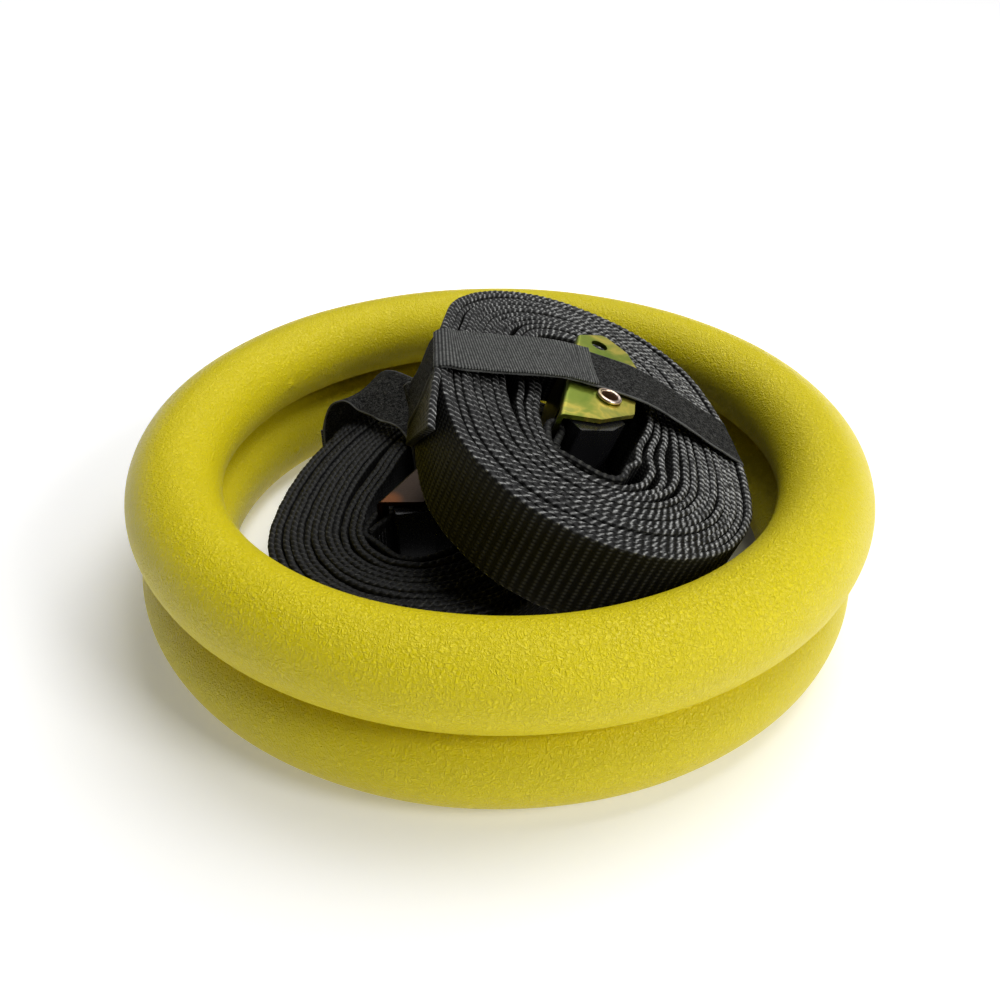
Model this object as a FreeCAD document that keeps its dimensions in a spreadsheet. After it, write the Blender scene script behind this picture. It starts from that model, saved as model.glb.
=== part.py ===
import FreeCAD, Part
import math
import os
import Sketcher

# A pair of gymnastics rings stored as a stack, with both suspension straps
# rolled up and laid inside. Millimetres, Z up, origin on the floor at the
# centre of the stack.

SIZES = {
    # rings
    "ring_centreline": 104.25, "ring_section": 14.25, "ring_lift_gap": 0.25,
    "ring_shift_x": 0.5, "ring_shift_y": -0.55,
    # webbing wound on itself: an oval of four arcs
    "web_width": 28.0, "web_thick": 2.2, "oval_flat": 90.0,
    "roll_outer": 50.85, "outer_half": 22.0, "roll_inner": 18.5, "core_half": 26.5,
    # where each roll lies: position of its lower face, lean, pitch and turn
    "left_x": -18.9, "left_y": -2.4, "left_z": 1.3, "left_turn": -13.8,
    "right_x": 19.75, "right_y": -3.85, "right_z": 36.76,
    "right_lean": 20.27, "right_pitch": 1.9, "right_turn": 3.65,
    # cam buckle, measured from its pivot
    "pivot_u": 2.95, "pivot_v": -3.25, "pivot_height": 17.0, "buckle_turn": -13.0,
    "frame_width": 32.0, "frame_inside": 29.0, "base_out": 14.0, "base_in": 12.5,
    "ear_right": 9.0, "base_front": 22.0, "base_rear": 37.0,
    "nose_mid_x": -1.2, "nose_mid_y": -15.2, "nose_end_y": -3.4,
    "tail_top_x": -4.8, "tail_top_y": 45.5, "tail_high_x": 4.5, "tail_high_y": 39.0,
    "tail_low_y": 29.0,
    "rear_hole": 3.0, "rear_hole_x": -5.8, "rear_hole_y": 35.7,
    "slot_near": 12.5, "slot_far": 17.5, "slot_half": 14.3,
    "bend_radius": 1.4, "tail_radius": 3.0,
    # tubular pivot
    "tube_outer": 3.0, "tube_inner": 2.5, "rim_outer": 3.7, "rim_high": 1.3,
    "bore_gap": 0.05, "face_gap": 0.02,
    # cam and lever
    "hub": 6.0, "cam_low": -14.0, "cam_high": 8.4, "teeth": 8, "tooth_step": 8.0,
    "tooth_first": -12.0, "tooth_base": 11.3, "tooth_grow": 0.05, "tooth_depth": 1.0,
    "tongue_long": 17.5, "tongue_half": 1.5, "tongue_aim": -105.0, "fit_gap": 0.05,
    "grip_half": 13.8, "grip_rounding": 0.8,
    # torsion spring
    "wire": 0.45, "coil": 4.15, "coil_pitch": 1.0, "coil_turns": 4.25, "coil_low": 9.0,
    "leg_base": 11.4, "leg_lever": 5.2,
    # anchor loop through the base plate's slot, and the bar tacks across it
    "loop_gap": 0.15, "tack_thick": 0.35, "tack_tall": 0.9, "tack_wide": 20.0,
    "tack_step": 2.6, "tack_rows": 3,
    # hook-and-loop tie round each roll
    "tie_thick": 1.2, "tie_wide": 24.0, "tie_gap": 0.05, "tie_right_v": 13.0,
    "tie_left_turn": -30.0, "tie_left_u": 0.4, "tie_left_v": 27.3, "hook_thick": 1.3, "hook_drop": 12.0,
    "hook_end_right": 3.0, "hook_end_left": -34.0,
    "seam_wide": 19.0, "seam_thick": 0.3, "seam_tall": 0.8, "seam_step": 3.0,
    # free end of the webbing, standing a little off the roll
    "free_top": -2.0, "free_long_right": 37.0, "free_off_right": 2.4,
    "free_long_left": 14.0, "free_off_left": 0.2,
}
# the inside of each tie, seen along it: under the roll, then back over it
TIE_PATHS = {
    "right": [
        (-54.2, -0.05), (54.2, -0.05), (54.2, 28.1), (28.0, 31.4),
        (18.0, 33.2), (-17.0, 33.2), (-27.0, 31.4), (-54.2, 28.1),
    ],
    "left": [
        (-51.6, -0.05), (-12.9, -0.05), (-12.9, 28.1), (-20.0, 31.0),
        (-28.0, 35.5), (-44.0, 36.5), (-52.0, 32.5), (-55.0, 24.0),
    ],
}

doc = FreeCAD.newDocument("rings")
sheet = doc.addObject("Spreadsheet::Sheet", "Sizes")
for row, (alias, number) in enumerate(SIZES.items(), start=1):
    sheet.set(f"A{row}", alias)
    sheet.set(f"B{row}", str(number))
    sheet.setAlias(f"B{row}", alias)
doc.recompute()


class Dim:
    """A length kept both as a number and as the expression that gives it."""

    def __init__(self, text, number):
        self.text = text
        self.number = float(number)

    def __add__(self, other):
        other = dim(other)
        return Dim(f"({self.text} + {other.text})", self.number + other.number)

    def __sub__(self, other):
        other = dim(other)
        return Dim(f"({self.text} - {other.text})", self.number - other.number)

    def __mul__(self, factor):
        return Dim(f"({self.text} * {factor})", self.number * factor)

    def __neg__(self):
        return Dim(f"(-1 * {self.text})", -self.number)


def dim(value):
    return value if isinstance(value, Dim) else Dim(repr(float(value)), value)


def size(alias):
    return Dim(f"Sizes.{alias}", SIZES[alias])


def vector(x=0.0, y=0.0, z=0.0):
    return FreeCAD.Vector(x, y, z)


def turned(axis, degrees):
    return FreeCAD.Rotation(axis, degrees)


X_AXIS, Y_AXIS, Z_AXIS = vector(1), vector(0, 1), vector(0, 0, 1)


def new_body(name, placement=None):
    body = doc.addObject("PartDesign::Body", name)
    body.Label = name
    if placement is not None:
        body.Placement = placement
    return body


def sketch_on(body, name, role, offset=None):
    plane = next(f for f in body.Origin.OriginFeatures if f.Role == role)
    sketch = body.newObject("Sketcher::SketchObject", name)
    sketch.AttachmentSupport = [(plane, "")]
    sketch.MapMode = "FlatFace"
    if offset is not None:
        sketch.AttachmentOffset = offset
    return sketch


def bind(sketch, kind, where, value):
    """Adds a sketch dimension and ties it to the sheet."""
    index = sketch.addConstraint(Sketcher.Constraint(kind, *where, value.number))
    sketch.setExpression(f"Constraints[{index}]", value.text)


def add_outline(sketch, points):
    """A closed outline through points, each coordinate bound to the sheet."""
    points = [(dim(x), dim(y)) for x, y in points]
    first = sketch.GeometryCount
    count = len(points)
    for k in range(count):
        (x0, y0), (x1, y1) = points[k], points[(k + 1) % count]
        start = vector(x0.number, y0.number)
        sketch.addGeometry(Part.LineSegment(start, vector(x1.number, y1.number)), False)
    for k in range(count):
        following = first + (k + 1) % count
        sketch.addConstraint(Sketcher.Constraint("Coincident", first + k, 2, following, 1))
    for k, (x, y) in enumerate(points):
        bind(sketch, "DistanceX", (-1, 1, first + k, 1), x)
        bind(sketch, "DistanceY", (-1, 1, first + k, 1), y)


def add_circle(sketch, x, y, radius):
    x, y = dim(x), dim(y)
    centre = vector(x.number, y.number)
    index = sketch.addGeometry(Part.Circle(centre, Z_AXIS, radius.number), False)
    bind(sketch, "DistanceX", (-1, 1, index, 3), x)
    bind(sketch, "DistanceY", (-1, 1, index, 3), y)
    bind(sketch, "Radius", (index,), radius)


def add_oval(sketch, half, radius):
    """Four tangent arcs: flat ones left and right, round ones at both ends."""
    flat = size("oval_flat")
    reach = math.hypot(half.number, flat.number)
    turn = math.atan2(half.number, flat.number)
    arcs = [
        (-flat.number, 0.0, radius.number + reach, -turn, turn),
        (0.0, half.number, radius.number, turn, math.pi - turn),
        (flat.number, 0.0, radius.number + reach, math.pi - turn, math.pi + turn),
        (0.0, -half.number, radius.number, math.pi + turn, 2 * math.pi - turn),
    ]
    first = sketch.GeometryCount
    for x, y, r, start, end in arcs:
        circle = Part.Circle(vector(x, y), Z_AXIS, r)
        sketch.addGeometry(Part.ArcOfCircle(circle, start, end), False)
    for k in range(4):
        following = first + (k + 1) % 4
        sketch.addConstraint(Sketcher.Constraint("Tangent", first + k, 2, following, 1))
    bind(sketch, "DistanceX", (-1, 1, first, 3), -flat)
    bind(sketch, "DistanceX", (-1, 1, first + 2, 3), flat)
    bind(sketch, "DistanceX", (-1, 1, first + 1, 3), dim(0))
    bind(sketch, "DistanceY", (-1, 1, first, 3), dim(0))
    bind(sketch, "DistanceY", (-1, 1, first + 1, 3), half)
    bind(sketch, "DistanceY", (-1, 1, first + 2, 3), dim(0))
    bind(sketch, "DistanceY", (-1, 1, first + 3, 3), -half)
    bind(sketch, "Radius", (first + 1,), radius)


def pad(body, name, sketch, length, midplane=False, backwards=False):
    feature = body.newObject("PartDesign::Pad", name)
    feature.Profile = sketch
    feature.Midplane = midplane
    feature.Reversed = backwards
    feature.setExpression("Length", dim(length).text)
    sketch.Visibility = False
    doc.recompute()
    body.Tip = feature
    return feature


def cut_through(body, name, sketch, length):
    """Cuts evenly both ways from the sketch and checks that it removed metal."""
    before = body.Shape.Volume
    feature = body.newObject("PartDesign::Pocket", name)
    feature.Profile = sketch
    feature.Midplane = True
    feature.setExpression("Length", dim(length).text)
    sketch.Visibility = False
    doc.recompute()
    body.Tip = feature
    if not feature.Shape.Volume < before - 0.01:
        raise RuntimeError(f"{name} removed nothing")
    return feature


def round_edges(body, name, radius, chosen):
    """Rounds the edges of the last feature that the function chosen picks."""
    base = body.Tip
    edges = [f"Edge{k}" for k, e in enumerate(base.Shape.Edges, start=1) if chosen(e)]
    feature = body.newObject("PartDesign::Fillet", name)
    feature.Base = (base, edges)
    feature.setExpression("Radius", radius.text)
    doc.recompute()
    body.Tip = feature
    return feature


def make_ring(name, x, y, z):
    body = new_body(name, FreeCAD.Placement(vector(x, y, z), FreeCAD.Rotation()))
    section = sketch_on(body, name + "_section", "XZ_Plane")
    add_circle(section, size("ring_centreline"), 0, size("ring_section"))
    doc.recompute()
    turn = body.newObject("PartDesign::Revolution", name + "_turn")
    turn.Profile = section
    turn.ReferenceAxis = (section, ["V_Axis"])
    turn.Angle = 360.0
    section.Visibility = False
    doc.recompute()
    body.Tip = turn
    return body


def make_webbing(side, place):
    """The wound webbing, its sewn lead-in and its loose outer end."""
    body = new_body("strap_" + side, place)
    width = size("web_width")
    outline = sketch_on(body, f"winding_{side}", "XY_Plane")
    add_oval(outline, size("outer_half"), size("roll_outer"))
    add_oval(outline, size("core_half"), size("roll_inner"))
    doc.recompute()
    pad(body, f"wound_{side}", outline, width)

    rise = SIZES["pivot_height"] - SIZES["web_width"] / 2
    seat = FreeCAD.Placement(
        vector(SIZES["pivot_u"], SIZES["pivot_v"], rise),
        turned(Z_AXIS, SIZES["buckle_turn"]),
    )
    loop = sketch_on(body, f"loop_{side}", "XY_Plane", seat)
    gap, thick = size("loop_gap"), size("web_thick")
    left, right = -(size("base_out") + gap), -(size("base_in") - gap)
    front, back = -(size("base_front") + gap), -(size("slot_far") - gap)
    add_outline(loop, [
        (left - thick, front - thick), (right + thick, front - thick),
        (right + thick, back + thick), (left - thick, back + thick),
    ])
    add_outline(loop, [(left, front), (right, front), (right, back), (left, back)])
    pad(body, f"looped_{side}", loop, width)

    raised = FreeCAD.Placement(vector(0, 0, rise), FreeCAD.Rotation())
    lead = sketch_on(body, f"lead_{side}", "XY_Plane", raised)
    add_outline(lead, [
        (-18.1, -22.3), (-13.2, -23.4), (-12.4, -30.0), (-11.5, -41.5),
        (-16.2, -38.0), (-17.6, -30.0),
    ])
    pad(body, f"led_{side}", lead, width - dim(rise))

    free = sketch_on(body, f"free_{side}", "XY_Plane")
    edge = size("roll_outer") + 2.35
    top, end = size("free_top"), size("free_top") - size("free_long_" + side)
    off = size("free_off_" + side) + edge
    add_outline(free, [
        (-edge + 0.5, top), (-edge - 0.6, top),
        (-off - thick, end), (-off, end),
    ])
    pad(body, f"freed_{side}", free, width)
    return body


def make_frame(side, place):
    """The folded steel frame: a base plate with an ear along each edge."""
    body = new_body("buckle_frame_" + side, place)
    ear = sketch_on(body, f"ear_{side}", "XY_Plane")
    back = -size("base_out")
    add_outline(ear, [
        (back, -size("base_front")), (size("nose_mid_x"), size("nose_mid_y")),
        (size("ear_right"), size("nose_end_y")), (size("ear_right"), size("tail_low_y")),
        (size("tail_high_x"), size("tail_high_y")), (size("tail_top_x"), size("tail_top_y")),
        (back, size("base_rear")),
    ])
    pad(body, f"blank_{side}", ear, size("frame_width"), midplane=True)
    fold = size("frame_width").number / 2

    def is_fold(edge):
        box = edge.BoundBox
        level = abs(abs(box.ZMin) - fold) < 1e-3 and box.ZLength < 1e-3
        return level and abs(box.XMin - back.number) < 1e-3 and box.XLength < 1e-3

    round_edges(body, f"bends_{side}", size("bend_radius"), is_fold)

    def is_tail(edge):
        box = edge.BoundBox
        upright = box.ZLength > 20 and box.XLength < 1e-3 and box.YLength < 1e-3
        return upright and box.YMin > 20 and box.XMin > back.number + 1.0

    round_edges(body, f"tail_{side}", size("tail_radius"), is_tail)
    channel = sketch_on(body, f"channel_{side}", "XZ_Plane")
    half = size("frame_inside") * 0.5
    wide = size("ear_right") + 5.0
    add_outline(channel, [
        (-size("base_in"), -half), (wide, -half), (wide, half), (-size("base_in"), half),
    ])
    cut_through(body, f"channelled_{side}", channel, 160.0)
    holes = sketch_on(body, f"holes_{side}", "XY_Plane")
    add_circle(holes, 0, 0, size("tube_outer") + size("bore_gap"))
    add_circle(holes, size("rear_hole_x"), size("rear_hole_y"), size("rear_hole"))
    cut_through(body, f"drilled_{side}", holes, 60.0)
    slot = sketch_on(body, f"slot_{side}", "YZ_Plane")
    add_outline(slot, [
        (-size("slot_far"), -size("slot_half")), (-size("slot_near"), -size("slot_half")),
        (-size("slot_near"), size("slot_half")), (-size("slot_far"), size("slot_half")),
    ])
    cut_through(body, f"slotted_{side}", slot, size("base_out") * 2.2)
    return body


def make_pivot(side, place):
    """The tubular rivet, rolled over into a rim outside each ear."""
    body = new_body("pivot_" + side, place)
    profile = sketch_on(body, f"tube_{side}", "XZ_Plane")
    inner, outer, rim = size("tube_inner"), size("tube_outer"), size("rim_outer")
    face = size("frame_width") * 0.5 + size("face_gap")
    top = face + size("rim_high")
    add_outline(profile, [
        (inner, -top), (rim, -top), (rim, -face), (outer, -face),
        (outer, face), (rim, face), (rim, top), (inner, top),
    ])
    doc.recompute()
    turn = body.newObject("PartDesign::Revolution", f"turned_{side}")
    turn.Profile = profile
    turn.ReferenceAxis = (profile, ["V_Axis"])
    turn.Angle = 360.0
    profile.Visibility = False
    doc.recompute()
    body.Tip = turn
    return body


def polar(radius, degrees):
    angle = math.radians(degrees)
    return radius * math.cos(angle), radius * math.sin(angle)


def tongue_box(grow, start):
    """Corners of the cam's tongue, or of the pocket that takes it."""
    aim = math.radians(SIZES["tongue_aim"])
    along = (math.cos(aim), math.sin(aim))
    across = (-along[1], along[0])
    far, half = SIZES["tongue_long"] + grow, SIZES["tongue_half"] + grow
    corners = []
    for run, side in ((start, -half), (far, -half), (far, half), (start, half)):
        corners.append((
            run * along[0] + side * across[0], run * along[1] + side * across[1],
        ))
    return corners


def make_cam(side, place):
    """The toothed cam with the tongue that the grip is moulded onto."""
    body = new_body("cam_" + side, place)
    low = FreeCAD.Placement(vector(0, 0, SIZES["cam_low"]), FreeCAD.Rotation())
    tall = size("cam_high") - size("cam_low")
    hub = sketch_on(body, f"hub_{side}", "XY_Plane", low)
    add_circle(hub, 0, 0, size("hub"))
    pad(body, f"hubbed_{side}", hub, tall)
    points = []
    for k in range(int(SIZES["teeth"])):
        at = SIZES["tooth_first"] + k * SIZES["tooth_step"]
        tip = SIZES["tooth_base"] + SIZES["tooth_grow"] * at
        points.append(polar(tip - SIZES["tooth_depth"], 180 + at - 3.0))
        points.append(polar(tip, 180 + at + 1.5))
    points.append(polar(SIZES["hub"] - 1.0, 180 + 70))
    points.append(polar(SIZES["hub"] - 1.0, 180 - 40))
    lobe = sketch_on(body, f"lobe_{side}", "XY_Plane", low)
    add_outline(lobe, points)
    pad(body, f"lobed_{side}", lobe, tall)
    tongue = sketch_on(body, f"tongue_{side}", "XY_Plane", low)
    add_outline(tongue, tongue_box(0.0, 4.0))
    pad(body, f"tongued_{side}", tongue, tall)
    bore = sketch_on(body, f"bore_{side}", "XY_Plane")
    add_circle(bore, 0, 0, size("tube_outer") + size("bore_gap"))
    cut_through(body, f"bored_{side}", bore, 60.0)
    return body


def make_grip(side, place):
    """The plastic thumb grip over the cam's tongue."""
    body = new_body("lever_cover_" + side, place)
    outline = sketch_on(body, f"grip_{side}", "XY_Plane")
    add_outline(outline, [
        (-9.7, -19.4), (-6.4, -22.4), (3.4, -14.9), (7.1, -7.6), (4.4, -4.4), (-2.2, -6.0),
        (-8.4, -12.2), (-9.9, -16.0),
    ])
    pad(body, f"gripped_{side}", outline, size("grip_half") * 2, midplane=True)

    def is_nose(edge):
        box = edge.BoundBox
        return box.ZLength > 20 and box.XLength < 1e-3 and box.YMin < -14

    round_edges(body, f"softened_{side}", size("grip_rounding"), is_nose)
    pocket = sketch_on(body, f"pocket_{side}", "XY_Plane")
    add_outline(pocket, tongue_box(SIZES["fit_gap"], 3.0))
    low = FreeCAD.Placement(vector(0, 0, -SIZES["fit_gap"] - 14.0), FreeCAD.Rotation())
    pocket.AttachmentOffset = low
    before = body.Shape.Volume
    cut = body.newObject("PartDesign::Pocket", f"pocketed_{side}")
    cut.Profile = pocket
    cut.Reversed = True
    cut.setExpression("Length", (size("cam_high") - size("cam_low") + 0.15).text)
    doc.recompute()
    body.Tip = cut
    if not body.Shape.Volume < before - 1.0:
        raise RuntimeError("the grip's pocket removed nothing")
    hub = sketch_on(body, f"clear_{side}", "XY_Plane")
    add_circle(hub, 0, 0, size("hub") + size("fit_gap"))
    cut_through(body, f"cleared_{side}", hub, 60.0)
    return body


def make_spring(side, place):
    """A torsion spring: a coil round the pivot with a leg at each end."""
    wire, coil = SIZES["wire"], SIZES["coil"]
    low, pitch, turns = SIZES["coil_low"], SIZES["coil_pitch"], SIZES["coil_turns"]
    helix = Part.makeHelix(pitch, pitch * turns, coil)
    path = Part.Wire(helix.Edges)
    ring = Part.Wire(Part.makeCircle(wire, vector(coil), Y_AXIS))
    body = path.makePipeShell([ring], True, True)
    body.translate(vector(0, 0, low))
    lever_leg = Part.makeCylinder(wire, SIZES["leg_lever"], vector(coil, 0, low), vector(0, -1))
    end = turns * 2 * math.pi
    tip = vector(coil * math.cos(end), coil * math.sin(end), low + pitch * turns)
    away = vector(-math.sin(end), math.cos(end))
    base_leg = Part.makeCylinder(wire, SIZES["leg_base"], tip, away)
    shape = body.fuse([lever_leg, base_leg])
    feature = doc.addObject("Part::Feature", "spring_" + side)
    feature.Label = "spring_" + side
    feature.Shape = shape
    feature.Placement = place
    return feature


def band(path, thick):
    """Both edges of a flat band whose inner edge follows path."""
    outer = []
    count = len(path)
    for k in range(count):
        (x0, y0), (x1, y1), (x2, y2) = path[k - 1], path[k], path[(k + 1) % count]
        a = math.atan2(y1 - y0, x1 - x0)
        b = math.atan2(y2 - y1, x2 - x1)
        mid = (a + b) / 2 if abs(b - a) <= math.pi else (a + b) / 2 + math.pi
        stretch = thick / abs(math.cos((b - a) / 2))
        outer.append((x1 + stretch * math.sin(mid), y1 - stretch * math.cos(mid)))
    return outer


def make_tie(side, place):
    """The soft loop tape: one closed turn round the roll."""
    body = new_body("tie_loop_" + side, place)
    profile = sketch_on(body, f"tie_{side}", "XY_Plane")
    inner = TIE_PATHS[side]
    add_outline(profile, inner)
    add_outline(profile, band(inner, SIZES["tie_thick"]))
    pad(body, f"tied_{side}", profile, size("tie_wide"), midplane=True)
    return body


def make_hook(side, place):
    """The hook tape, pressed onto the loop tape from the outer edge to mid-face."""
    body = new_body("tie_hook_" + side, place)
    gap = SIZES["tie_thick"] + SIZES["tie_gap"]
    path = band(TIE_PATHS[side], gap)
    outer = band(TIE_PATHS[side], gap + SIZES["hook_thick"])
    end = SIZES["hook_end_" + side]
    bottom = path[7][1] - SIZES["hook_drop"]
    run = [(end, level(path, end)), path[5], path[6], path[7], (path[7][0], bottom)]
    back = [(outer[7][0], bottom), outer[7], outer[6], outer[5], (end, level(outer, end))]
    profile = sketch_on(body, f"hook_{side}", "XY_Plane")
    add_outline(profile, run + back)
    pad(body, f"hooked_{side}", profile, size("tie_wide"), midplane=True)
    return body


def level(path, x):
    """Height of the top stretch of a tie at x."""
    (x0, y0), (x1, y1) = path[4], path[5]
    return y0 + (y1 - y0) * (x - x0) / (x1 - x0)


def make_bars(name, count, step, box_size, place, along):
    """Sewn rows: a few raised bars of thread, fused into one named piece."""
    bars = []
    for k in range(count):
        bar = doc.addObject("Part::Box", f"{name}_row{k}")
        for side_name, value in zip(("Length", "Width", "Height"), box_size):
            bar.setExpression(side_name, value.text)
        start = along * (k * step) - vector(0, box_size[1].number / 2, box_size[2].number / 2)
        bar.Placement = FreeCAD.Placement(start, FreeCAD.Rotation())
        bars.append(bar)
    fused = doc.addObject("Part::MultiFuse", name)
    fused.Shapes = bars
    fused.Label = name
    fused.Placement = place
    return fused


def make_strap(side, roll):
    """Everything that belongs to one rolled strap; roll is its placement."""
    seat = FreeCAD.Placement(
        vector(SIZES["pivot_u"], SIZES["pivot_v"], SIZES["pivot_height"]),
        turned(Z_AXIS, SIZES["buckle_turn"]),
    )
    buckle = roll.multiply(seat)
    if side == "right":
        seat = FreeCAD.Placement(vector(0, SIZES["tie_right_v"]), FreeCAD.Rotation())
    else:
        seat = FreeCAD.Placement(
            vector(SIZES["tie_left_u"], SIZES["tie_left_v"]),
            turned(Z_AXIS, SIZES["tie_left_turn"]),
        )
    upright = FreeCAD.Placement(vector(), turned(X_AXIS, 90))
    tie = roll.multiply(seat).multiply(upright)
    lead_at = FreeCAD.Placement(vector(-12.91, -25.41, 15.5), turned(Z_AXIS, 6.9))
    tack = (size("tack_thick"), size("tack_tall"), size("tack_wide"))
    seam = (size("seam_tall"), size("seam_thick"), size("seam_wide"))
    end = SIZES["hook_end_" + side]
    cover = SIZES["tie_thick"] + SIZES["tie_gap"] + SIZES["hook_thick"]
    crest = level(band(TIE_PATHS[side], cover), end) + SIZES["seam_thick"] / 2 + 0.2
    slope = math.atan2(TIE_PATHS[side][4][1] - TIE_PATHS[side][5][1],
                       TIE_PATHS[side][4][0] - TIE_PATHS[side][5][0])
    seam_at = FreeCAD.Placement(
        vector(end - 2.0, crest), turned(Z_AXIS, math.degrees(slope))
    )
    return [
        make_webbing(side, roll),
        make_bars(
            f"strap_stitch_{side}", int(SIZES["tack_rows"]), SIZES["tack_step"], tack,
            roll.multiply(lead_at), vector(0, -1),
        ),
        make_frame(side, buckle),
        make_pivot(side, buckle),
        make_cam(side, buckle),
        make_grip(side, buckle),
        make_spring(side, buckle),
        make_tie(side, tie),
        make_hook(side, tie),
        make_bars(f"tie_stitch_{side}", 3, SIZES["seam_step"], seam,
                  tie.multiply(seam_at), vector(-1)),
    ]


rise = SIZES["ring_section"]
parts = [
    make_ring("ring_lower", -SIZES["ring_shift_x"], -SIZES["ring_shift_y"], rise),
    make_ring(
        "ring_upper", SIZES["ring_shift_x"], SIZES["ring_shift_y"],
        3 * rise + SIZES["ring_lift_gap"],
    ),
]
left_roll = FreeCAD.Placement(
    vector(SIZES["left_x"], SIZES["left_y"], SIZES["left_z"]),
    turned(Z_AXIS, SIZES["left_turn"]),
)
right_turn = turned(Y_AXIS, SIZES["right_lean"]).multiply(turned(Z_AXIS, SIZES["right_turn"]))
right_roll = FreeCAD.Placement(
    vector(SIZES["right_x"], SIZES["right_y"], SIZES["right_z"]),
    turned(X_AXIS, SIZES["right_pitch"]).multiply(right_turn),
)
parts += make_strap("left", left_roll)
parts += make_strap("right", right_roll)
doc.recompute()

for item in doc.Objects:
    if "Invalid" in item.State or "Error" in item.State:
        raise RuntimeError(f"{item.Name} did not compute: {item.State}")
os.makedirs("parts", exist_ok=True)
for item in parts:
    shape = item.Shape
    if shape.isNull() or not shape.isValid():
        raise RuntimeError(f"{item.Label} has no valid shape")
    print(item.Label, len(shape.Solids), "solid", round(shape.Volume / 1000, 3), "cm3")
    shape.exportStep(f"parts/{item.Label}.step")
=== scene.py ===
import math
import bmesh
import bpy
import numpy as np
from mathutils import Matrix, Vector


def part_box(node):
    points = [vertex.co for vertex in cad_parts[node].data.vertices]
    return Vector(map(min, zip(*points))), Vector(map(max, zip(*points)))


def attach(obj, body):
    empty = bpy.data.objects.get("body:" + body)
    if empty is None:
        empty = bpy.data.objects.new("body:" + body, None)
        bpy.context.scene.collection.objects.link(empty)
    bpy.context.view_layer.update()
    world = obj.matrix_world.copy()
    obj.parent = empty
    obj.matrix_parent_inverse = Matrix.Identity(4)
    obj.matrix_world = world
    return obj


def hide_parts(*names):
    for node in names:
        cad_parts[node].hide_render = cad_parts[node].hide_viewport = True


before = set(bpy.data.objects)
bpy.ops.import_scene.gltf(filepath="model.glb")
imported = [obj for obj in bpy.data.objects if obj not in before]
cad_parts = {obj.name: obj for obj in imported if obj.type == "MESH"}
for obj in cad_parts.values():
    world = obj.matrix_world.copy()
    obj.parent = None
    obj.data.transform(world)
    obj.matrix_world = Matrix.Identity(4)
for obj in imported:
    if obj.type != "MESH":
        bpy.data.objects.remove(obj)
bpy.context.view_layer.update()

# Two stacked gymnastics rings with two rolled webbing straps lying inside them. Each strap has a cam buckle
# and a hook-and-loop tie. Shapes are worked out in millimetres, and turned into metres before new_object
# gets them.
# Numbers in the shaders are in metres.

MM = 0.001
SIDES = ("left", "right")

# ---------------------------------------------------------------- camera

CAMERA_AT = (0.0005, -0.26336, 0.20274)
CAMERA_PITCH = 55.56
CAMERA_ROLL = 0.569
CAMERA_LENS = 33.13


def make_camera():
    """The photograph's viewpoint, fitted to the outlines of both rings."""
    data = bpy.data.cameras.new("camera")
    data.sensor_width = 36.0
    data.lens = CAMERA_LENS
    data.clip_start, data.clip_end = 0.01, 50
    cam = bpy.data.objects.new("camera", data)
    bpy.context.scene.collection.objects.link(cam)
    pitch = Matrix.Rotation(math.radians(CAMERA_PITCH), 4, "X")
    aim = pitch @ Matrix.Rotation(math.radians(CAMERA_ROLL), 4, "Z")
    cam.matrix_world = Matrix.Translation(CAMERA_AT) @ aim
    bpy.context.scene.camera = cam


make_camera()

# ---------------------------------------------------------------- where things lie

def rot(axis, degrees):
    return np.array(Matrix.Rotation(math.radians(degrees), 3, axis))


# The turn and the foot of each roll's axis: the left roll is flat, the right one leans on it.
ROLLS = {
    "left": (rot("Z", -13.8), np.array([-18.9, -2.4, 1.3])),
    "right": (rot("X", 1.9) @ rot("Y", 20.27) @ rot("Z", 3.65), np.array([19.75, -3.85, 36.76])),
}
# The buckle's pivot in its roll, and how far the buckle is turned about it.
PIVOT = np.array([2.95, -3.25, 17.0])
BUCKLE_TURN = rot("Z", -13.0)
# The front corner of a buckle's upper ear, seen from its pivot.
EAR_CORNER = (-12.0, -20.0, 16.0)


def on_roll(side):
    """A function that takes points of a roll to the scene."""
    turn, base = ROLLS[side]
    return lambda p: p @ turn.T + base


def on_buckle(side):
    """A function that takes points of a buckle to the scene."""
    turn, base = ROLLS[side]
    return lambda p: (p @ BUCKLE_TURN.T + PIVOT) @ turn.T + base


def buckle_to_roll(p):
    """Flat points of a buckle, as flat points of its roll."""
    return np.asarray(p, float) @ BUCKLE_TURN.T[:2, :2] + PIVOT[:2]


def in_frame_node(side, point):
    """A point of a buckle in the coordinates of its frame's node, in metres."""
    at = on_buckle(side)(np.array([point], float))[0] * MM
    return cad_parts["buckle_frame_" + side].matrix_world.inverted() @ Vector(at)

# ---------------------------------------------------------------- shader helpers

BLACK = (0.0, 0.0, 0.0)
WHITE = (1.0, 1.0, 1.0)
SOCKETS = {
    "color": "Base Color", "rough": "Roughness", "metal": "Metallic", "spec": "Specular IOR Level",
    "sheen": "Sheen Weight", "sheen_rough": "Sheen Roughness", "normal": "Normal",
}


def grey(value):
    return (value, value, value)


def rgba(value):
    """A plain colour gets an alpha of 1; a socket passes through."""
    return (*value, 1) if isinstance(value, tuple) and len(value) == 3 else value


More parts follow.
